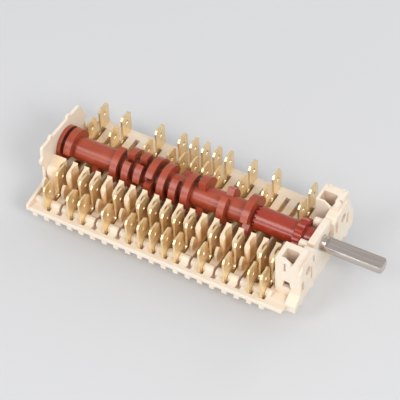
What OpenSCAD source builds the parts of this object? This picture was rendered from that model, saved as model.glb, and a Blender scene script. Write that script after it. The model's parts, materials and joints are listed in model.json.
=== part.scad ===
// Oven selector switch: an open rotary cam switch with push-on terminals.
// X runs along the cam axis with the shaft end at +X, Y runs across from the near
// side (minus) to the far side (plus), and Z is up. Z = 0 is the underside of the keel.

/* [Stations] */
// Distance between neighbouring contact stations along the axis
station_pitch = 5; // [4.9:0.1:6.5]
// How far the far side's terminals sit behind the near side's
far_stagger = 3.27; // [3.1:0.01:3.4]

/* [Heights] */
// Height of the keel under the wings
keel_h = 8.6; // [7:0.1:12]
// Thickness of the wings
wing_t = 2.8; // [2.4:0.1:3.4]
// Height of the cam axis above the wings' top face
axis_rise = 10.3; // [9.9:0.1:12.6]
// Height of the ribs between the terminals above the wings' top face
rib_rise = 0.9; // [0.6:0.1:1.1]
// Height of the near side's posts above the wings' top face
post_rise = 6.4; // [5.3:0.1:7.7]
// Height of the near side's fins above the cam axis
fin_rise = 0.1; // [-0.6:0.1:0.5]
// Height of the terminals' tips above the wings' top face
tab_rise = 11.4; // [9.5:0.1:13.7]
// Height of the gap's bottom between two tabs above the wings' top face
root_rise = 1.4; // [1.2:0.1:3.6]
// Height of the rear plate above the cam axis
head_rise = 9.6; // [9:0.1:13]
// Height of the two towers above the cam axis
tower_rise = 7.8; // [6.8:0.1:11]

/* [Terminals] */
// Thickness of the brass terminal plate
plate_t = 0.8; // [0.6:0.05:1]
// Width of one push-on tab
tab_w = 6.3; // [4.8:0.1:6.8]
// Distance between the middles of a plate's two tabs
tab_spacing = 8.78; // [8.2:0.02:9.4]
// Distance of the outer tab's middle from the cam axis
tab_outer_y = 22.1; // [21.6:0.1:22.6]
// Length of the chamfer at a tab's tip
tip_chamfer = 1.2; // [0.4:0.1:1.8]

/* [Housing] */
// Distance of the near wing's edge from the cam axis
near_wing_y = 27.5; // [26.4:0.1:30]
// Distance of the far wing's edge from the cam axis
far_wing_y = 25.6; // [25.4:0.1:28]
// Half the width of the keel at its foot
keel_half_w = 13; // [10.8:0.1:15.6]
// Thickness of the floor under the contact chambers
floor_t = 2.2; // [1.6:0.1:3]
// Depth of the terminals' slots below the wings' top face
slot_depth = 2; // [1.6:0.1:2.2]
// Width of the open pocket in front of each terminal's foot
pocket_w = 1; // [0.6:0.1:1.2]
// Thickness of the near side's fins
fin_t = 2.1; // [1.7:0.1:2.6]
// Thickness of the rear plate
rear_plate_t = 1.2; // [1:0.1:3]

/* [Front plate] */
// Distance of the mounting face from the last station
front_reach = 12.5; // [12.2:0.1:15]
// Length of the two towers along the axis
tower_len = 9; // [8.6:0.1:9.2]
// Thickness of the wall that carries the shaft
shaft_wall_t = 2.7; // [2.2:0.1:3.2]
// Distance between the two fixing holes
fixing_spacing = 28; // [28:0.1:31]
// Diameter of the fixing holes
fixing_d = 3.6; // [2.5:0.1:4.2]
// Radius of the boss round the shaft
boss_r = 4.9; // [4.7:0.1:5.6]

/* [Drum and shaft] */
// Diameter of the drum between its cams
core_d = 8.9; // [8:0.1:9.6]
// Radius of the common cam lobes
cam_r = 7.1; // [6:0.1:7.4]
// Radius of the tall cam lobes
tall_cam_r = 7.9; // [7.5:0.05:8]
// Width of one cam
cam_w = 2.8; // [2:0.1:3.4]
// Diameter of the drive sleeve
sleeve_d = 9.1; // [8.6:0.1:9.8]
// Diameter of the shaft
shaft_d = 6; // [5:0.1:6.4]
// Depth of the flat on the shaft
flat_depth = 1.5; // [0.8:0.1:2]
// Length of shaft that stands out of the mounting face
shaft_reach = 22.5; // [12:0.5:45]
// Length of the shaft's flat
flat_len = 21.8; // [10:0.1:40]
// Diameter of the drum's rear journal
rear_journal_d = 6; // [4:0.1:7]
// Diameter of the drive sleeve's front journal
front_journal_d = 7.8; // [7.4:0.1:8.2]
// Number of teeth on the detent wheel
detent_teeth = 12; // [8:1:16]
// Radius over the detent wheel's teeth
detent_r = 6.5; // [5.8:0.1:6.8]

/* [Fits] */
// Radial clearance of a journal in its bearing
running_clearance = 0.05; // [0.02:0.01:0.09]
// Clearance between a plate and its slot
slot_clearance = 0.1; // [0.05:0.01:0.15]
// Clearance between a moving piece and what it passes
free_clearance = 0.4; // [0.3:0.05:0.6]

/* [Hidden] */
$fn = 64;
station_count = 19;
near_stations = [0, 2, 3, 5, 7, 8, 9, 10, 11, 13, 15, 17, 18];
far_stations = [0, 2, 5, 7, 8, 9, 10, 11, 13, 15, 18];
last = station_count - 1;
eps = 0.01;

// Station k's plane is the front face of its near terminal
function station_x(k) = (k - last / 2) * station_pitch;
// The cam of station k stands midway between its near and far terminals
cam_offset = (far_stagger + plate_t) / 2;
function cam_x(k) = station_x(k) - cam_offset;

// Heights
wing_bottom_z = keel_h;
wing_top_z = keel_h + wing_t;
rib_z = wing_top_z + rib_rise;
slot_floor_z = wing_top_z - slot_depth;
axis_z = wing_top_z + axis_rise;
fin_z = axis_z + fin_rise;
post_z = wing_top_z + post_rise;
rear_plate_z = axis_z + head_rise;
tower_top_z = axis_z + tower_rise;
tab_tip_z = wing_top_z + tab_rise;
tab_root_z = wing_top_z + root_rise;
// Room that the contact springs need under the tall cams
spring_room = 5.2;
foot_z = axis_z - tall_cam_r - spring_room;

// Widths
keel_half_top = keel_half_w + 2;
chamber_half_y = 7.8;
chamber_w = far_stagger + plate_t + 2 * slot_clearance;
tab_inner_y = tab_outer_y - tab_spacing;
tab_reach_y = tab_outer_y + tab_w / 2;
slab_y = 21.1;
bump_y = 23.4;
tower_half_w = 4.25;
tower_y = fixing_spacing / 2 + 1.6;
channel_half_w = boss_r + 1.5;
trough_r = max(tall_cam_r, cam_r) + free_clearance + 0.2;

// Places along the axis
rear_inner_x = station_x(0) - 6.6;
rear_outer_x = rear_inner_x - rear_plate_t;
mount_face_x = station_x(last) + front_reach;
tower_x1 = mount_face_x - 1;
tower_x0 = tower_x1 - tower_len;
wall_x1 = mount_face_x - 1.5;
wall_x0 = wall_x1 - shaft_wall_t;
well_x0 = station_x(last) + 1.2;

// Sheet springs, and the height of the detent leaf's middle line where it lies in its well
spring_t = 0.3;
leaf_z = rib_z - 0.55;

// Extrudes an outline drawn in (Y, Z) from x0 to x1
module along_x(x0, x1) {
    translate([x0, 0, 0]) rotate([90, 0, 90]) linear_extrude(x1 - x0) children();
}

// A round bar or bore on the cam axis
module on_axis(x0, x1, r) {
    along_x(x0, x1) translate([0, axis_z]) circle(r);
}

// A block given by its two corners
module block(from, to) {
    translate(from) cube(to - from);
}

// Housing

// Outline of the near side's rib: a bump inside the wing's flat edge, then a low saddle
function near_rib() = [
    [-bump_y, wing_bottom_z + 0.5],
    [-bump_y, wing_top_z],
    [-bump_y + 0.3, wing_top_z + 1.1],
    [-bump_y + 1.1, wing_top_z + 1.6],
    [-bump_y + 2.1, wing_top_z + 1.7],
    [-bump_y + 2.7, wing_top_z + 1.4],
    [-bump_y + 3.1, rib_z],
    [-chamber_half_y, rib_z],
    [-chamber_half_y, wing_bottom_z + 0.5]
];

// Outline of the near side's fin, which rises from a round nose to a tip at the drum
function near_fin() = [
    [-14.6, rib_z - 1], [-14.6, fin_z - 3.4], [-14, fin_z - 1.6], [-12.8, fin_z - 0.4],
    [-10.4, fin_z], [-8.9, fin_z + 0.5], [-8.3, fin_z + 1.5], [-7.9, fin_z + 1.5],
    [-4, axis_z], [-4, rib_z - 1]
];

// Outline of the thin post outside the fin, with the window's edge below it
function near_post() = [
    [-18.2, rib_z - eps], [-18.3, post_z - 2.4], [-17.5, post_z - 0.9], [-16.7, post_z - 0.1],
    [-16, post_z], [-15.3, post_z - 0.8], [-14.8, post_z - 2.3], [-13.4, post_z - 2.8],
    [-13.4, rib_z + 1.9], [-16.4, rib_z + 1.9], [-16.7, rib_z + 1.5], [-16.7, rib_z - eps]
];

// Outline of the far side's rib: a low rise beside the drum, then flat
function far_rib() = [
    [chamber_half_y - 4, wing_bottom_z + 0.5],
    [chamber_half_y - 4, rib_z + 2.7],
    [10.8, rib_z + 2.6],
    [11.6, rib_z + 1.9],
    [13.6, rib_z + 0.2],
    [14.4, rib_z],
    [slab_y + eps, rib_z],
    [slab_y + eps, wing_bottom_z + 0.5]
];

// Keel and wings in section
module tray_section() {
    lip_y = chamber_half_y + 0.6;
    polygon([
        [-keel_half_w, 0], [keel_half_w, 0],
        [keel_half_top, wing_bottom_z], [far_wing_y - 2.6, wing_bottom_z],
        [far_wing_y - 2.2, wing_bottom_z + 1.7], [far_wing_y, wing_bottom_z + 1.7],
        [far_wing_y, wing_top_z + 0.2], [far_wing_y - 0.4, wing_top_z + 0.4],
        [far_wing_y - 1, wing_top_z + 0.4], [far_wing_y - 1.5, rib_z],
        [slab_y, rib_z], [slab_y, wing_top_z],
        [lip_y, wing_top_z], [lip_y, wing_top_z + 1],
        [-lip_y, wing_top_z + 1], [-lip_y, wing_top_z],
        [-near_wing_y + 2.9, wing_top_z],
        [-near_wing_y + 0.4, wing_top_z + 0.4], [-near_wing_y, wing_top_z + 0.2],
        [-near_wing_y, wing_bottom_z + 1.7], [-near_wing_y + 2.6, wing_bottom_z + 1.7],
        [-near_wing_y + 3, wing_bottom_z], [-keel_half_top, wing_bottom_z]
    ]);
}

// Rear end plate: a tall head between two wing flanges
module rear_plate() {
    top = rear_plate_z;
    along_x(rear_outer_x, rear_inner_x) polygon([
        [-keel_half_w, 0], [keel_half_w, 0],
        [keel_half_top, wing_bottom_z], [far_wing_y, wing_bottom_z + 1.7],
        [far_wing_y, wing_top_z + 1.3], [18, wing_top_z + 2.9], [16, wing_top_z + 4],
        [13.8, wing_top_z + 6.6], [13.4, top - 8.7], [15, top - 8.5], [14.2, top - 6.7],
        [13.3, top - 5.3], [12.8, top - 2.7], [11.4, top - 0.3], [10.6, top],
        [5, top], [4.6, top + 1.2], [3.1, top + 1.2], [2.8, top],
        [-7.6, top], [-8, top + 1.3], [-9, top + 1], [-9.4, top], [-14, top],
        [-14.7, top - 0.6], [-14.9, top - 4.7], [-16.3, top - 5.6], [-16.2, top - 6.9],
        [-14.8, top - 9.3], [-15.1, wing_top_z + 3.5],
        [-near_wing_y + 0.3, wing_top_z + 1.6], [-near_wing_y, wing_top_z + 0.8],
        [-near_wing_y, wing_bottom_z + 1.7], [-keel_half_top, wing_bottom_z]
    ]);
}

// Where rib k begins and ends; the last one is cut short by the towers
function near_front(k) = min(station_x(k) - plate_t - slot_clearance, tower_x0 + eps);
function near_rear(k) = k == 0 ? rear_inner_x - eps : station_x(k - 1) + slot_clearance;
function far_front(k) = k == station_count ? tower_x0 + eps
    : station_x(k) - far_stagger - plate_t - slot_clearance;
function far_rear(k) = k == 0 ? rear_inner_x - eps : station_x(k - 1) - far_stagger + pocket_w;

// Near ribs, each with a post and a round-nosed fin that is scooped on its front
module near_partitions() {
    scoop_r = 3;
    scoop_depth = 1.1;
    post_t = 1.1;
    for (k = [0 : station_count]) {
        front = near_front(k);
        // The rearmost rib and fin reach back to the rear plate
        fin_rear = k == 0 ? near_rear(0) : max(front - fin_t, near_rear(k));
        along_x(near_rear(k), front) polygon(near_rib());
        difference() {
            along_x(fin_rear, front) polygon(near_fin());
            translate([front + scoop_r - scoop_depth, -10.9, rib_z - 0.3])
                cylinder(h = axis_z, r = scoop_r);
            nose_round(fin_rear, -1);
            nose_round(front, 1);
        }
        along_x(fin_rear, min(fin_rear + post_t, front)) polygon(near_post());
    }
}

// What is cut away to round one edge of a fin's outer end
module nose_round(x, side) {
    r = fin_t / 2;
    translate([x, -14.6, rib_z]) difference() {
        translate([side > 0 ? -r : -eps, -0.5, 0]) cube([r + eps, r + 0.5, axis_z]);
        translate([-side * r, r, -1]) cylinder(h = axis_z + 2, r = r);
    }
}

module far_partitions() {
    for (k = [0 : station_count])
        along_x(far_rear(k), far_front(k)) polygon(far_rib());
}

// Teeth under the edges of both wings, one to each station
module edge_teeth() {
    for (k = [0 : station_count]) {
        x = station_x(k) - station_pitch + 0.9;
        for (y = [-near_wing_y, far_wing_y - 2.8])
            block([x - 1, y, wing_bottom_z], [x + 1, y + 2.8, wing_bottom_z + 1.8]);
    }
}

// What one station takes out of the tray
module station_cuts(k) {
    x = station_x(k);
    far_x = x - far_stagger;
    rear = -plate_t - slot_clearance;
    // Contact chamber under the cam
    block([x - chamber_w + slot_clearance, -chamber_half_y, floor_t],
        [x + slot_clearance, chamber_half_y, axis_z]);
    // Slots for the terminal plates, deeper where they pass into the chamber
    block([x + rear, -tab_reach_y - slot_clearance, slot_floor_z],
        [x + slot_clearance, -chamber_half_y + eps, axis_z]);
    block([x + rear, -12, foot_z - 1.2], [x + slot_clearance, -chamber_half_y + eps, axis_z]);
    block([far_x + rear, chamber_half_y - eps, slot_floor_z],
        [far_x + slot_clearance, slab_y, axis_z]);
    block([far_x + rear, chamber_half_y - eps, foot_z - 1.2],
        [far_x + slot_clearance, 12, axis_z]);
    // Open pockets in front of the plates
    block([x, -tab_reach_y - slot_clearance, slot_floor_z], [x + pocket_w, -bump_y, rib_z]);
    block([x, -20.4, slot_floor_z], [x + pocket_w, -13, rib_z + 1]);
    block([far_x, 12, slot_floor_z], [far_x + pocket_w, slab_y, rib_z + 1]);
}

// A tower's pocket, its notch and its fixing hole, on the side given by -1 or 1
module tower_cuts(side) {
    y = side * tower_y;
    pocket_y = side > 0 ? tower_y - 3.4 : -tower_y - 2.7;
    pocket_x = side > 0 ? tower_x0 + 1 : tower_x0 + 1.8;
    front_x = side > 0 ? mount_face_x - 3.3 : mount_face_x - 3;
    // Pocket with bevelled front corners
    translate([0, 0, axis_z - 7.1]) linear_extrude(tower_rise + 8) polygon([
        [pocket_x, pocket_y], [front_x - 1, pocket_y], [front_x, pocket_y + 0.6],
        [front_x, pocket_y + 3.8], [front_x - 1, pocket_y + 4.4], [pocket_x, pocket_y + 4.4]
    ]);
    // Corner notch in the pocket's near rim
    translate([0, y - tower_half_w - 1, 0]) rotate([-90, 0, 0]) linear_extrude(3)
        polygon([[tower_x0 + 3.5, -tower_top_z - 1], [tower_x1 - 1.9, -tower_top_z - 1],
            [tower_x1 - 1.9, -tower_top_z + 0.4], [tower_x1 - 3, -tower_top_z + 2],
            [tower_x0 + 3.5, -tower_top_z + 0.2]]);
    along_x(front_x - 1, mount_face_x + 1)
        translate([side * fixing_spacing / 2, axis_z]) circle(d = fixing_d);
}

// Window and slit in the near tower's outer wall
module near_tower_window() {
    y = -tower_y - tower_half_w;
    translate([0, y - 1, 0]) rotate([-90, 0, 0]) linear_extrude(3.2)
        polygon([[tower_x0 + 3.4, 2.7 - axis_z], [tower_x0 + 5.5, 2.9 - axis_z],
            [tower_x0 + 6.5, 6.1 - axis_z], [tower_x0 + 2.9, 6.2 - axis_z]]);
    block([tower_x0 + 3.3, y - 1, axis_z + 2.2], [tower_x0 + 4.1, y + 0.7, axis_z + 6.2]);
}

// Outline of the front layer on the near side
function near_face() = [
    [-tower_y - 8.3, wing_bottom_z], [-tower_y - 6.6, wing_bottom_z],
    [-tower_y - 6.9, wing_bottom_z + 1.3], [-tower_y - 5, wing_bottom_z + 1.3],
    [-tower_y - 3.7, wing_bottom_z], [-tower_y - 2.8, wing_bottom_z],
    [-tower_y - 3.1, wing_bottom_z + 1.9], [-tower_y + 3.8, wing_bottom_z + 1.7],
    [-tower_y + 5.3, wing_bottom_z + 0.2], [-tower_y + 6.3, wing_bottom_z + 0.6],
    [-tower_y + 5.9, wing_top_z + 0.6], [-channel_half_w, wing_top_z + 1.5],
    [-channel_half_w, tower_top_z - 4.1], [-tower_y + 7.4, tower_top_z - 2.5],
    [-tower_y - 2.6, tower_top_z - 1.9], [-tower_y - 4.2, tower_top_z - 4.1],
    [-tower_y - 4.5, wing_top_z + 2.6], [-tower_y - 8.3, wing_top_z + 0.2]
];

// Outline of the front layer on the far side
function far_face() = [
    [channel_half_w, wing_top_z + 1.5], [tower_y - 5.9, wing_top_z + 0.6],
    [tower_y - 6.3, wing_bottom_z + 0.6], [tower_y - 5.3, wing_bottom_z + 0.2],
    [tower_y - 3.8, wing_bottom_z + 1.7], [tower_y - 0.2, wing_bottom_z + 1.7],
    [tower_y + 0.2, wing_bottom_z + 0.2], [tower_y + 2.6, wing_bottom_z + 0.2],
    [tower_y + 3, wing_bottom_z + 1.8], [tower_y + 5.4, wing_bottom_z + 1.8],
    [tower_y + 6.8, wing_bottom_z + 2.2], [tower_y + 6.8, axis_z - 2.3],
    [tower_y + 5, axis_z - 0.1], [tower_y + 4.2, tower_top_z - 4.7],
    [tower_y + 2.6, tower_top_z - 1.9], [tower_y - 7.4, tower_top_z - 2.5],
    [channel_half_w, tower_top_z - 4.1]
];

// Recess moulded into the mounting face, w wide between two heights
module face_recess(y, w, z0, z1) {
    block([mount_face_x - 0.9, y - w / 2, z0], [mount_face_x + 1, y + w / 2, z1]);
}

module face_recesses() {
    face_recess(-tower_y - 2.3, 1.8, axis_z - 6.8, axis_z - 2.2);
    face_recess(-tower_y + 4.4, 1, axis_z - 6.9, axis_z - 0.7);
    face_recess(-tower_y + 6, 1.4, axis_z + 0.4, axis_z + 3.5);
    face_recess(tower_y + 1.9, 1.4, axis_z - 6, axis_z - 0.8);
    face_recess(tower_y - 6.9, 1.8, axis_z - 3, axis_z + 2.8);
    // Nick in the top of the far tower's front wall
    block([tower_x1 - 0.9, tower_y - 1.6, tower_top_z - 1.6],
        [mount_face_x, tower_y - 0.6, tower_top_z + 1]);
}

// Towers, front layer and the wall that carries the shaft over an open channel
module front_block() {
    along_x(wall_x0, mount_face_x) {
        polygon(near_face());
        polygon(far_face());
    }
    for (side = [-1, 1])
        block([tower_x0, side * tower_y - tower_half_w, wing_bottom_z + 0.6],
            [tower_x1, side * tower_y + tower_half_w, tower_top_z]);
    along_x(wall_x0, wall_x1) {
        translate([0, axis_z]) circle(boss_r);
        translate([-channel_half_w - 0.2, axis_z])
            square([2 * channel_half_w + 0.4, tower_rise - 2.5]);
    }
    // Low bumps on the far tower's rim
    for (x = [tower_x0 + 1.4, tower_x1 - 2.2])
        block([x, tower_y + tower_half_w - 1, tower_top_z - eps],
            [x + 1.1, tower_y + tower_half_w, tower_top_z + 0.45]);
    // Rounded lugs that stand on either side of the front journal
    for (side = [-1, 1]) along_x(wall_x0 - 3.2, wall_x0 + eps) {
        translate([side * 5.9, axis_z + 2.7]) circle(1.7);
        translate([side * 5.9 - 1.7, wing_top_z]) square([3.4, axis_rise + 2.7]);
    }
}

module housing() {
    color("#f3e4cf") difference() {
        union() {
            along_x(rear_inner_x - eps, wall_x0 + 0.6) tray_section();
            rear_plate();
            difference() {
                union() {
                    near_partitions();
                    far_partitions();
                }
                on_axis(rear_inner_x, tower_x0 + 1, trough_r);
                block([rear_inner_x, -chamber_half_y, wing_top_z],
                    [tower_x0 + 1, chamber_half_y, axis_z + 4]);
            }
            edge_teeth();
            front_block();
        }
        for (k = [0 : last]) station_cuts(k);
        for (side = [-1, 1]) tower_cuts(side);
        near_tower_window();
        face_recesses();
        // Bearings at both ends
        on_axis(rear_outer_x - 1, rear_inner_x + 1, rear_journal_d / 2 + running_clearance);
        on_axis(wall_x0 - 4, wall_x0 + 1, front_journal_d / 2 + running_clearance);
        on_axis(wall_x0, mount_face_x + 1, shaft_d / 2 + running_clearance);
        // Well for the detent wheel and its spring
        block([well_x0, -9.4, leaf_z - spring_t / 2], [wall_x0 - 0.6, 9.4, axis_z]);
        on_axis(well_x0, wall_x0 - 3.2, detent_r + free_clearance + 0.6);
    }
}

// Rotor

// Drum cams as [station, first angle, last angle, radius], measured from the top to the near side
lobes = [
    [0, -90, 78, cam_r],
    [2, 150, 230, cam_r],
    [4, -20, 150, cam_r],
    [5, -40, 2, tall_cam_r], [5, 25, 160, cam_r],
    [6, -35, 0, tall_cam_r], [6, 20, 80, cam_r], [6, 170, 240, cam_r],
    [7, -78, 48, tall_cam_r], [7, 150, 200, cam_r],
    [8, -78, 150, cam_r],
    [9, 22, 170, cam_r], [9, 230, 290, cam_r],
    [10, -42, 150, cam_r],
    [11, -80, 8, tall_cam_r], [11, 140, 200, cam_r],
    [13, -92, -25, cam_r], [13, 18, 150, cam_r],
    [15, -88, 68, tall_cam_r]
];
// Square-faced cams as [station, angle of the middle, half the width]
square_lobes = [[7, 92, 2.9], [15, 128, 2.6]];
drum_x0 = rear_inner_x + 0.3;
drum_x1 = cam_x(15) + cam_w / 2;
sleeve_x0 = drum_x1 + 0.7;
sleeve_x1 = station_x(last) + 1.5;
wheel_x1 = sleeve_x1 + 3;
shaft_x0 = sleeve_x0 + 3;
drive_x1 = sleeve_x1;
spigot_r = 2.6;

// A point at radius r, turned by angle a from the top to the near side
function turned(r, a) = r * [-sin(a), cos(a)];

// The part of a round cam that lies between two angles, with a ramp down at each end
module lobe(k, a0, a1, r) {
    ramp_angle = 12;
    foot_r = core_d / 2 - 0.1;
    along_x(cam_x(k) - cam_w / 2, cam_x(k) + cam_w / 2) translate([0, axis_z]) intersection() {
        circle(r);
        polygon(concat([[0, 0], turned(foot_r, a0 - ramp_angle), turned(r, a0)],
            [for (i = [0 : 4]) turned(3 * r, a0 + (a1 - a0) * i / 4)],
            [turned(r, a1), turned(foot_r, a1 + ramp_angle)]));
    }
}

// A cam with one flat face
module square_lobe(k, a, half_w) {
    along_x(cam_x(k) - cam_w / 2, cam_x(k) + cam_w / 2) translate([0, axis_z]) rotate(a)
        translate([-half_w, 0]) square([2 * half_w, sqrt(pow(tall_cam_r, 2) - pow(half_w, 2))]);
}

module cam_drum() {
    color("#b4553f") difference() {
        union() {
            on_axis(rear_outer_x + 0.3, drum_x0 + eps, rear_journal_d / 2);
            on_axis(drum_x0, drum_x0 + 1.4, cam_r);
            on_axis(drum_x0, cam_x(0) - cam_w / 2 + eps, core_d / 2 + 0.8);
            on_axis(drum_x0, drum_x1, core_d / 2);
            on_axis(drum_x1 - eps, shaft_x0 - 0.4, spigot_r);
            for (l = lobes) lobe(l[0], l[1], l[2], l[3]);
            for (l = square_lobes) square_lobe(l[0], l[1], l[2]);
        }
        // Sink in the rear journal
        on_axis(rear_outer_x, rear_outer_x + 3, rear_journal_d / 2 - 1.4);
    }
}

// The D-shaped section of the shaft, grown or shrunk by a clearance
module d_section(grow) {
    intersection() {
        circle(shaft_d / 2 + grow);
        translate([-shaft_d, -shaft_d])
            square([2 * shaft_d, 1.5 * shaft_d - flat_depth + grow]);
    }
}

// One turn of the detent wheel's rounded teeth
module detent_section() {
    difference() {
        circle(detent_r);
        for (i = [0 : detent_teeth - 1])
            rotate((i + 0.5) * 360 / detent_teeth) translate([0, detent_r + 0.35]) circle(1.25);
    }
}

module drive_sleeve() {
    fit = running_clearance;
    color("#a63f2b") difference() {
        union() {
            on_axis(sleeve_x0, sleeve_x1, sleeve_d / 2);
            along_x(sleeve_x1 - eps, wheel_x1) translate([0, axis_z]) detent_section();
            on_axis(wheel_x1 - eps, wall_x0 + 0.8, front_journal_d / 2);
        }
        // Fine indexing notches round the rear end
        for (i = [0 : 15])
            translate([sleeve_x0, 0, axis_z]) rotate([i * 22.5, 0, 0])
                block([-1, -0.35, sleeve_d / 2 - 0.8], [0.8, 0.35, sleeve_d]);
        on_axis(sleeve_x0 - 1, shaft_x0 - 0.2, spigot_r + fit);
        along_x(shaft_x0 - 0.3, wall_x0 + 2) translate([0, axis_z]) d_section(fit);
        on_axis(drive_x1, wall_x0 + 2, shaft_d / 2 + fit);
    }
}

// Steel shaft, flattened inside the sleeve and over its outer end
module shaft() {
    end_x = mount_face_x + shaft_reach;
    bevel = 0.6;
    color("#9d9590") difference() {
        translate([0, 0, axis_z]) rotate([0, 90, 0]) rotate_extrude() polygon([
            [0, shaft_x0], [shaft_d / 2, shaft_x0], [shaft_d / 2, end_x - bevel],
            [shaft_d / 2 - bevel, end_x], [0, end_x]
        ]);
        for (x = [[shaft_x0 - 1, drive_x1], [end_x - flat_len, end_x + 1]])
            block([x[0], -shaft_d, axis_z + shaft_d / 2 - flat_depth], [x[1], shaft_d, axis_z + shaft_d]);
    }
}

// Contacts

// One tab with its chamfered tip, standing on the line z0
module tab(y, z0) {
    half = tab_w / 2;
    polygon([
        [y - half, z0], [y - half, tab_tip_z - tip_chamfer],
        [y - half + 0.9 * tip_chamfer, tab_tip_z], [y + half - 0.9 * tip_chamfer, tab_tip_z],
        [y + half, tab_tip_z - tip_chamfer], [y + half, z0]
    ]);
}

// A terminal plate in section, drawn for the far side. Its outer end stands on rest_z
// and the rest of it goes down into the slot, out to leg_y
module plate_section(rest_z, leg_y) {
    bottom = slot_floor_z + slot_clearance;
    tip_y = chamber_half_y - 2.8;
    difference() {
        union() {
            tab(tab_outer_y, rest_z);
            tab(tab_inner_y, bottom);
            polygon([
                [tab_reach_y, rest_z], [tab_reach_y, tab_root_z], [chamber_half_y + 0.8, tab_root_z],
                [chamber_half_y - 2, foot_z + 2.6], [tip_y, foot_z + 2.2], [tip_y, foot_z - 0.8],
                [11.6, foot_z - 0.8], [11.9, bottom], [leg_y, bottom], [leg_y, rest_z]
            ]);
        }
        // Rounded root of the gap between the tabs
        translate([(tab_outer_y + tab_inner_y) / 2, tab_root_z]) circle((tab_spacing - tab_w) / 2);
    }
}

// Dimple that locks a push-on receptacle
module dimples() {
    for (y = [tab_outer_y, tab_inner_y])
        translate([1.05, y, tab_tip_z - 3.8]) sphere(1.4, $fn = 32);
}

// Terminal plate whose front face is at x = 0 and whose foot is bent towards bend
module terminal(rest_z, leg_y, foot_y, bend) {
    rear = -plate_t;
    foot_x = bend > 0 ? [rear, chamber_w - 1.6] : [-chamber_w + 1.6, 0];
    difference() {
        along_x(rear, 0) plate_section(rest_z, leg_y);
        dimples();
    }
    block([foot_x[0], foot_y, foot_z - plate_t], [foot_x[1], chamber_half_y - 0.4, foot_z]);
}

module near_terminal(k) {
    color("#c8a569") translate([station_x(k), 0, 0]) mirror([0, 1, 0])
        terminal(slot_floor_z + slot_clearance, tab_reach_y, 4.4, -1);
}

module far_terminal(k) {
    color("#c8a569") translate([station_x(k) - far_stagger, 0, 0])
        terminal(rib_z + slot_clearance, slab_y - 2 * slot_clearance, -3.1, 1);
}

spring_w = 2.2;
contact_y = -2.1;
contact_z = foot_z + 3.6;
rivet_r = 0.5;

// Leaf spring in section: a strip that follows its own middle line
module leaf(points, t) {
    for (i = [0 : len(points) - 2]) {
        a = points[i];
        b = points[i + 1];
        n = [a[1] - b[1], b[0] - a[0]] / norm(b - a) * t / 2;
        polygon([a + n, a - n, b - n, b + n]);
    }
    for (i = [1 : len(points) - 2]) translate(points[i]) circle(t / 2, $fn = 16);
}

module contact_spring(k) {
    seat = foot_z + spring_t / 2;
    color("#b98a52") difference() {
        along_x(cam_x(k) - spring_w / 2, cam_x(k) + spring_w / 2) leaf([
            [-7.2, seat], [-4.9, seat], [-3.9, foot_z + 2.4],
            [contact_y - 1.3, contact_z], [contact_y + 1.3, contact_z],
            [0.6, contact_z + 0.5], [1.8, contact_z - 0.1], [2.4, contact_z - 0.8]
        ], spring_t);
        translate([cam_x(k), contact_y, contact_z - 1]) cylinder(h = 2, r = rivet_r + 0.05);
    }
}

// Silver contacts, riveted through the springs
module moving_contacts() {
    color("#d9d7d2") for (k = far_stations) translate([cam_x(k), contact_y, contact_z]) {
        translate([0, 0, spring_t / 2]) cylinder(h = 0.6, d1 = 2, d2 = 1.5);
        translate([0, 0, -spring_t / 2 - 0.7]) cylinder(h = 0.7, d = 1.7);
        translate([0, 0, -spring_t]) cylinder(h = 2 * spring_t, r = rivet_r);
    }
}

// Silver contacts on the far terminals' feet
module fixed_contacts() {
    color("#d9d7d2") for (k = far_stations)
        translate([cam_x(k), contact_y, foot_z]) cylinder(h = 0.9, d1 = 2, d2 = 1.6);
}

// Leaf that drops into the detent wheel's teeth, drawn pressed clear of their crests
module detent_spring() {
    nose_z = axis_z - detent_r - 0.3 - spring_t;
    color("#8f8a84") along_x(sleeve_x1 + 0.3, wheel_x1 - 0.3) leaf([
        [-9, leaf_z + 0.6], [-8.2, leaf_z], [-5, leaf_z], [-1.6, nose_z - 1.1], [-0.5, nose_z],
        [0.5, nose_z], [1.6, nose_z - 1.1], [5, leaf_z], [8.2, leaf_z], [9, leaf_z + 0.6]
    ], spring_t);
}

housing();
cam_drum();
drive_sleeve();
shaft();
detent_spring();
moving_contacts();
fixed_contacts();
for (k = near_stations)
    near_terminal(k);
for (k = far_stations)
    far_terminal(k);
for (k = far_stations)
    contact_spring(k);
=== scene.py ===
"""Looks of the oven selector switch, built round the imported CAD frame."""

import json
from math import radians

import bpy
from mathutils import Matrix, Vector

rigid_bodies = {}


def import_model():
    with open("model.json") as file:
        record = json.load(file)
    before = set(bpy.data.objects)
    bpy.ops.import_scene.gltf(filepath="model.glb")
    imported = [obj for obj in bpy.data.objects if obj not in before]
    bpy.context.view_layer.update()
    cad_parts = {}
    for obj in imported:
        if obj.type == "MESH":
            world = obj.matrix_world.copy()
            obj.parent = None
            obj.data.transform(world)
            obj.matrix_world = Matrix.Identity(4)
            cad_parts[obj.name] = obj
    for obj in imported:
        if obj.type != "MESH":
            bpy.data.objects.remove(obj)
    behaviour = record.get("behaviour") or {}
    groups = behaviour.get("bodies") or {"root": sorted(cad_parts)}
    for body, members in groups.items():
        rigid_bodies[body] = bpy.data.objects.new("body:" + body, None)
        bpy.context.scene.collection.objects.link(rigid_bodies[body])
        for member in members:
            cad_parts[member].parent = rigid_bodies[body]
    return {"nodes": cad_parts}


# Metres in a millimetre
MM = 0.001

# A Mix node's inputs for its factor and its two colours, and its output for the result
FACTOR, UNDER, OVER = 0, 6, 7
MIXED = 2

# How much of a noise pattern its finer and finer detail keeps
DETAIL_SHARE = 0.55
# Rays that each rounded edge and each shaded gap is felt with
EDGE_RAYS = 4
GAP_RAYS = 8

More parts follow.
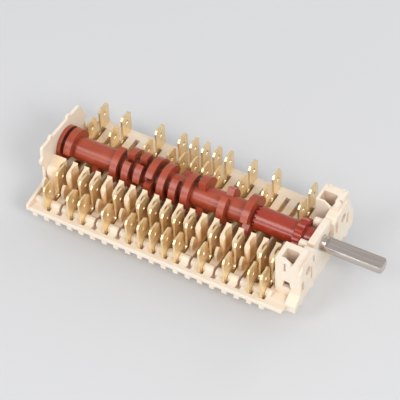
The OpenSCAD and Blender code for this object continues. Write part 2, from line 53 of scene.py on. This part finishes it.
# The housing between its two ends, where it carries the contacts and the drum
ROWS_MIDDLE_X = -2 * MM
ROWS_HALF_LENGTH = 47 * MM
ROWS_HALF_WIDTH = 17 * MM
ROWS_FADE = 2 * MM

# The photograph's viewpoint: degrees turned from the near side towards the shaft,
# degrees above the floor and degrees tipped, with the lens and sensor in millimetres
CAMERA_TURN = 31.199
CAMERA_HEIGHT = 47.491
CAMERA_TIP = -2.612
CAMERA_DISTANCE = 635.12 * MM
CAMERA_AIM = Vector((4.380, 2.946, 15.0)) * MM
CAMERA_LENS = 154.96
CAMERA_SENSOR = 36.0

# Studio: places and sizes in metres, power in watts
FLOOR_WIDTH = 6.0
LAMP_AIM = Vector((0.01, 0, 0.02))
WARM_WHITE = (1.0, 0.985, 0.96)
SOFT_WHITE = (1.0, 0.99, 0.97)
PLAIN_WHITE = (1.0, 1.0, 1.0)
SKY_COLOUR = (1.0, 0.98, 0.96, 1.0)
SKY_STRENGTH = 0.6

scene = bpy.context.scene
for stray in list(bpy.data.objects):
    bpy.data.objects.remove(stray)

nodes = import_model()["nodes"]


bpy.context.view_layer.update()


# Colours and patterns


def linear(code):
    """A linear colour from an sRGB hex code."""
    parts = [int(code[i : i + 2], 16) / 255 for i in (1, 3, 5)]
    return tuple(
        c / 12.92 if c <= 0.04045 else ((c + 0.055) / 1.055) ** 2.4 for c in parts
    ) + (1.0,)


def add(tree, kind, inputs, out=0, **settings):
    """A shader node with its settings, values and links, given back as one output.

    Inputs and outputs go by their socket's name or number."""
    made = tree.nodes.new(kind)
    for key, value in settings.items():
        setattr(made, key, value)
    for key, value in inputs.items():
        if isinstance(value, bpy.types.NodeSocket):
            tree.links.new(value, made.inputs[key])
        else:
            made.inputs[key].default_value = value
    return made.outputs[out] if made.outputs else made


def new_material(name):
    """An empty material, its node tree and each point's place in the piece's own frame."""
    made = bpy.data.materials.new(name)
    made.use_nodes = True
    tree = made.node_tree
    tree.nodes.clear()
    return made, tree, add(tree, "ShaderNodeTexCoord", {}, out="Object")


def per_mm(size):
    """The scale of a pattern whose features are about that many millimetres wide."""
    return 1.0 / (size * MM)


def blotches(tree, place, size, detail, low, high, most=1.0):
    """Soft-edged blotches about size millimetres wide: 0 where their noise is under low,
    rising to most where it is over high."""
    noise = add(
        tree,
        "ShaderNodeTexNoise",
        {
            "Vector": place,
            "Scale": per_mm(size),
            "Detail": detail,
            "Roughness": DETAIL_SHARE,
        },
    )
    return add(
        tree,
        "ShaderNodeMapRange",
        {"Value": noise, "From Min": low, "From Max": high, "To Max": most},
    )


def free_of_painted_shade(tree, reach, shut, bare):
    """The mask for painted shade: 1 on the piece's open faces and 0 in its own gaps that
    are deep against the reach, where the shade colour is painted.
    """
    seen = add(
        tree,
        "ShaderNodeAmbientOcclusion",
        {"Distance": reach * MM},
        out="AO",
        samples=GAP_RAYS,
        only_local=True,
    )
    return add(
        tree,
        "ShaderNodeMapRange",
        {"Value": seen, "From Min": shut, "From Max": bare},
    )


def contact_rows(tree):
    """1 where the housing carries its contacts and the drum, 0 at its two ends and rims."""
    inside = 1.0
    place = add(tree, "ShaderNodeNewGeometry", {}, out="Position")
    spans = (
        ("X", ROWS_MIDDLE_X, ROWS_HALF_LENGTH),
        ("Y", 0.0, ROWS_HALF_WIDTH),
    )
    for axis, middle, half in spans:
        along = add(tree, "ShaderNodeSeparateXYZ", {0: place}, out=axis)
        offset = add(tree, "ShaderNodeMath", {0: along, 1: middle}, operation="SUBTRACT")
        away = add(tree, "ShaderNodeMath", {0: offset}, operation="ABSOLUTE")
        fade = add(
            tree,
            "ShaderNodeMapRange",
            {
                "Value": away,
                "From Min": half,
                "From Max": half + ROWS_FADE,
                "To Min": 1.0,
                "To Max": 0.0,
            },
        )
        inside = add(tree, "ShaderNodeMath", {0: fade, 1: inside}, operation="MULTIPLY")
    return inside


# Materials


def cream_plastic():
    """Thermoset filled with mineral, moulded: a dry, faintly cloudy cream that lets a
    little light in. It is tinted by place with painted light: painted warm light from the
    brass makes it golden between the contacts, and painted shade makes it browner in the
    hollows there and rosy brown in the hollows of its ends."""
    made, tree, place = new_material("moulded_cream_thermoset")
    clouds = blotches(tree, place, size=9, detail=4, low=0.3, high=0.7)
    colour = add(
        tree,
        "ShaderNodeMix",
        {FACTOR: clouds, UNDER: linear("#f2e8da"), OVER: linear("#eee0cd")},
        out=MIXED,
        data_type="RGBA",
    )
    rows = contact_rows(tree)
    # Painted warm light: the cream is tinted golden between the contacts, for light bounced
    # from the brass
    colour = add(
        tree,
        "ShaderNodeMix",
        {FACTOR: rows, UNDER: colour, OVER: linear("#efdabd")},
        out=MIXED,
        data_type="RGBA",
    )
    # Painted shade: the cream darkens to these colours in its own gaps, golden brown
    # between the contacts and rosy brown in the ends
    painted_hollow_shade = add(
        tree,
        "ShaderNodeMix",
        {FACTOR: rows, UNDER: linear("#e2ccb8"), OVER: linear("#e6bf86")},
        out=MIXED,
        data_type="RGBA",
    )
    colour = add(
        tree,
        "ShaderNodeMix",
        {
            FACTOR: free_of_painted_shade(tree, reach=10, shut=0.15, bare=0.78),
            UNDER: painted_hollow_shade,
            OVER: colour,
        },
        out=MIXED,
        data_type="RGBA",
    )
    # The filler's specks are finer than this, and are drawn as coarse as they need to show
    specks = blotches(tree, place, size=0.5, detail=2, low=0.68, high=0.78, most=0.25)
    colour = add(
        tree,
        "ShaderNodeMix",
        {FACTOR: specks, UNDER: colour, OVER: linear("#d8c3a0")},
        out=MIXED,
        data_type="RGBA",
    )
    grain = add(
        tree,
        "ShaderNodeTexNoise",
        {
            "Vector": place,
            "Scale": per_mm(0.35),
            "Detail": 2,
            "Roughness": DETAIL_SHARE,
        },
    )
    edges = add(tree, "ShaderNodeBevel", {"Radius": 0.11 * MM}, samples=EDGE_RAYS)
    normal = add(
        tree,
        "ShaderNodeBump",
        {"Strength": 0.25, "Distance": 0.02 * MM, "Height": grain, "Normal": edges},
    )
    shader = add(
        tree,
        "ShaderNodeBsdfPrincipled",
        {
            "Base Color": colour,
            "Roughness": add(
                tree,
                "ShaderNodeMapRange",
                {"Value": clouds, "To Min": 0.42, "To Max": 0.52},
            ),
            "IOR": 1.5,
            "Subsurface Weight": 0.12,
            "Subsurface Radius": (1.2 * MM, 0.8 * MM, 0.5 * MM),
            "Subsurface Scale": 1.0,
            "Normal": normal,
        },
    )
    add(tree, "ShaderNodeOutputMaterial", {"Surface": shader})
    return made


def red_nylon(name, low, high, gloss):
    """Brick red nylon, moulded: long flow clouds along the axis in a waxy gloss, with
    painted shade, nearly black, between the cams, and a pale dust on its faces."""
    made, tree, place = new_material(name)
    along = add(tree, "ShaderNodeMapping", {"Vector": place, "Scale": (0.35, 1, 1)})
    flow = blotches(tree, along, size=5, detail=5, low=0.3, high=0.7)
    colour = add(
        tree,
        "ShaderNodeMix",
        {FACTOR: flow, UNDER: linear(low), OVER: linear(high)},
        out=MIXED,
        data_type="RGBA",
    )
    # Painted shade: the nylon goes nearly black in its own gaps between the cams
    colour = add(
        tree,
        "ShaderNodeMix",
        {
            FACTOR: free_of_painted_shade(tree, reach=4, shut=0.1, bare=0.75),
            UNDER: linear("#3c0f08"),
            OVER: colour,
        },
        out=MIXED,
        data_type="RGBA",
    )
    # Dust, drawn as coarse as it needs to show
    dust = blotches(tree, place, size=0.6, detail=3, low=0.62, high=0.8, most=0.22)
    colour = add(
        tree,
        "ShaderNodeMix",
        {FACTOR: dust, UNDER: colour, OVER: linear("#c07a60")},
        out=MIXED,
        data_type="RGBA",
    )
    along = add(tree, "ShaderNodeMapping", {"Vector": place, "Scale": (0.5, 1, 1)})
    grain = add(
        tree,
        "ShaderNodeTexNoise",
        {
            "Vector": along,
            "Scale": per_mm(0.5),
            "Detail": 3,
            "Roughness": DETAIL_SHARE,
        },
    )
    edges = add(tree, "ShaderNodeBevel", {"Radius": 0.14 * MM}, samples=EDGE_RAYS)
    normal = add(
        tree,
        "ShaderNodeBump",
        {"Strength": 0.2, "Distance": 0.03 * MM, "Height": grain, "Normal": edges},
    )
    shader = add(
        tree,
        "ShaderNodeBsdfPrincipled",
        {
            "Base Color": colour,
            "Roughness": add(
                tree,
                "ShaderNodeMapRange",
                {"Value": flow, "To Min": gloss, "To Max": gloss + 0.1},
            ),
            "IOR": 1.6,
            "Normal": normal,
        },
    )
    add(tree, "ShaderNodeOutputMaterial", {"Surface": shader})
    return made


def stamped_brass():
    """Brass strip, rolled and stamped: pale gold under a thin dull film that keeps it
    from being a full mirror, with faint upright rolling lines. Its slopes, which are the
    dimples' sides and the rounded edges, are shaded three times as steep as they are cut,
    so that a dimple shows as a bright dot when it is only a few pixels wide."""
    made, tree, place = new_material("stamped_brass")
    upright = add(tree, "ShaderNodeMapping", {"Vector": place, "Scale": (1, 1, 0.12)})
    # Rolling lines are finer than this, and are drawn as coarse as they need to show
    lines = add(
        tree,
        "ShaderNodeTexNoise",
        {
            "Vector": upright,
            "Scale": per_mm(0.7),
            "Detail": 4,
            "Roughness": DETAIL_SHARE,
        },
    )
    film = blotches(tree, place, size=4, detail=4, low=0.35, high=0.68)
    colour = add(
        tree,
        "ShaderNodeMix",
        {FACTOR: film, UNDER: linear("#f6d8a0"), OVER: linear("#ffe9c0")},
        out=MIXED,
        data_type="RGBA",
    )
    dull_lines = add(
        tree,
        "ShaderNodeMapRange",
        {"Value": lines, "From Min": 0.4, "From Max": 0.75, "To Max": 0.2},
    )
    colour = add(
        tree,
        "ShaderNodeMix",
        {FACTOR: dull_lines, UNDER: colour, OVER: linear("#c9a062")},
        out=MIXED,
        data_type="RGBA",
    )
    edges = add(tree, "ShaderNodeBevel", {"Radius": 0.11 * MM}, samples=EDGE_RAYS)
    leaned = add(
        tree, "ShaderNodeVectorMath", {0: edges, 1: (1, 3, 3)}, operation="MULTIPLY"
    )
    steep = add(tree, "ShaderNodeVectorMath", {0: leaned}, operation="NORMALIZE")
    normal = add(
        tree,
        "ShaderNodeBump",
        {"Strength": 0.2, "Distance": 0.01 * MM, "Height": lines, "Normal": steep},
    )
    shader = add(
        tree,
        "ShaderNodeBsdfPrincipled",
        {
            "Base Color": colour,
            "Metallic": 0.65,
            "Roughness": add(
                tree,
                "ShaderNodeMapRange",
                {"Value": film, "To Min": 0.25, "To Max": 0.17},
            ),
            "Normal": normal,
        },
    )
    add(tree, "ShaderNodeOutputMaterial", {"Surface": shader})
    return made


def drawn_metal(name, low, high, rough, stretch, size, edge):
    """Plain metal, drawn or rolled one way: fine lines along it and edges, rounded by
    that many millimetres, that catch the light. The lines are finer on the real piece
    and are drawn as coarse as they need to show."""
    made, tree, place = new_material(name)
    along = add(tree, "ShaderNodeMapping", {"Vector": place, "Scale": stretch})
    lines = add(
        tree,
        "ShaderNodeTexNoise",
        {
            "Vector": along,
            "Scale": per_mm(size),
            "Detail": 5,
            "Roughness": DETAIL_SHARE,
        },
    )
    tone = add(
        tree, "ShaderNodeMapRange", {"Value": lines, "From Min": 0.3, "From Max": 0.7}
    )
    edges = add(tree, "ShaderNodeBevel", {"Radius": edge * MM}, samples=EDGE_RAYS)
    normal = add(
        tree,
        "ShaderNodeBump",
        {"Strength": 0.08, "Distance": 0.01 * MM, "Height": lines, "Normal": edges},
    )
    shader = add(
        tree,
        "ShaderNodeBsdfPrincipled",
        {
            "Base Color": add(
                tree,
                "ShaderNodeMix",
                {FACTOR: tone, UNDER: linear(low), OVER: linear(high)},
                out=MIXED,
                data_type="RGBA",
            ),
            "Metallic": 1.0,
            "Roughness": add(
                tree,
                "ShaderNodeMapRange",
                {"Value": tone, "To Min": rough, "To Max": rough + 0.08},
            ),
            "Normal": normal,
        },
    )
    add(tree, "ShaderNodeOutputMaterial", {"Surface": shader})
    return made


def pale_paint():
    """Matt paint, rolled: an even pale grey that keeps the switch's soft shadow."""
    made, tree, _ = new_material("matt_pale_paint")
    shader = add(
        tree,
        "ShaderNodeBsdfPrincipled",
        {"Base Color": linear("#d6d8dc"), "Roughness": 0.5, "IOR": 1.45},
    )
    add(tree, "ShaderNodeOutputMaterial", {"Surface": shader})
    return made


# What each piece is made of

FINISHES = {
    "housing": cream_plastic(),
    "cam_drum": red_nylon("moulded_brick_nylon", "#9c3d25", "#b04d31", gloss=0.25),
    "drive_sleeve": red_nylon("glossy_red_nylon", "#972e19", "#a53721", gloss=0.18),
    "shaft": drawn_metal(
        "drawn_steel",
        "#c4bbb5",
        "#d2cac4",
        rough=0.2,
        stretch=(0.04, 1, 1),
        size=0.6,
        edge=0.28,
    ),
    "detent_spring": drawn_metal(
        "spring_steel",
        "#8d8883",
        "#a8a39d",
        rough=0.25,
        stretch=(1, 0.1, 1),
        size=0.3,
        edge=0.12,
    ),
    "terminal": stamped_brass(),
    "contact_spring": drawn_metal(
        "rolled_bronze",
        "#b07c40",
        "#cc9a5c",
        rough=0.25,
        stretch=(1, 0.1, 1),
        size=0.3,
        edge=0.12,
    ),
    "silver_contact": drawn_metal(
        "plated_silver",
        "#dcdad5",
        "#f0eee9",
        rough=0.15,
        stretch=(1, 1, 1),
        size=0.3,
        edge=0.12,
    ),
}


def finish_of(name):
    """The finish of a piece, by the piece's name."""
    if "terminal" in name:
        return "terminal"
    if name.startswith("contact_spring"):
        return "contact_spring"
    if name.endswith("_contacts"):
        return "silver_contact"
    return name


for name, piece in nodes.items():
    finish = finish_of(name)
    piece.data.materials.clear()
    piece.data.materials.append(FINISHES[finish])


# Floor, light and camera


def pale_floor():
    """A plain pale floor, wide enough to fill every view."""
    bpy.ops.mesh.primitive_plane_add(size=FLOOR_WIDTH, location=(0, 0, 0))
    made = bpy.context.object
    made.name = "floor"
    made.data.materials.append(pale_paint())


def soft_box(name, place, width, power, colour):
    """A square area light that faces the switch."""
    data = bpy.data.lights.new(name, "AREA")
    data.shape = "SQUARE"
    data.size = width
    data.energy = power
    data.color = colour
    lamp = bpy.data.objects.new(name, data)
    scene.collection.objects.link(lamp)
    lamp.location = place
    way = LAMP_AIM - Vector(place)
    lamp.rotation_euler = way.to_track_quat("-Z", "Y").to_euler()


def camera():
    """The photograph's own viewpoint, fitted to the two rows of terminals."""
    data = bpy.data.cameras.new("camera")
    data.sensor_width = CAMERA_SENSOR
    data.lens = CAMERA_LENS
    data.clip_start = 0.01
    data.clip_end = 20.0
    made = bpy.data.objects.new("camera", data)
    scene.collection.objects.link(made)
    turned = (
        Matrix.Rotation(radians(CAMERA_TURN), 4, "Z")
        @ Matrix.Rotation(radians(90 - CAMERA_HEIGHT), 4, "X")
        @ Matrix.Rotation(radians(CAMERA_TIP), 4, "Z")
    )
    away = Matrix.Translation((0, 0, CAMERA_DISTANCE))
    made.matrix_world = Matrix.Translation(CAMERA_AIM) @ turned @ away
    scene.camera = made


pale_floor()
# The main light, which lays the bright line along the drum
soft_box("key", (-0.47, -1.05, 1.15), width=0.6, power=5.0, colour=WARM_WHITE)
# Light on the terminals' broad faces, which puts a dot in each dimple
soft_box("right", (1.04, -0.65, 1.0), width=0.46, power=9.0, colour=SOFT_WHITE)
# Wide fill from beside the camera
soft_box("front", (0.65, -1.04, 1.37), width=0.9, power=3.2, colour=SOFT_WHITE)
# Small light that glints on the terminals' chamfered corners
soft_box("glint", (-0.56, -1.27, 0.82), width=0.3, power=0.9, colour=WARM_WHITE)
# Light near the floor, which draws the bright edge of the shaft's flat
soft_box("low", (-0.54, -1.44, 0.22), width=0.4, power=1.9, colour=SOFT_WHITE)
# Light from behind, which lifts the far edges off the floor
soft_box("rim", (0.36, 1.26, 0.72), width=0.7, power=3.2, colour=PLAIN_WHITE)
camera()

world = bpy.data.worlds.new("studio")
scene.world = world
world.use_nodes = True
sky = world.node_tree.nodes["Background"]
sky.inputs["Color"].default_value = SKY_COLOUR
sky.inputs["Strength"].default_value = SKY_STRENGTH

scene.view_settings.view_transform = "Standard"
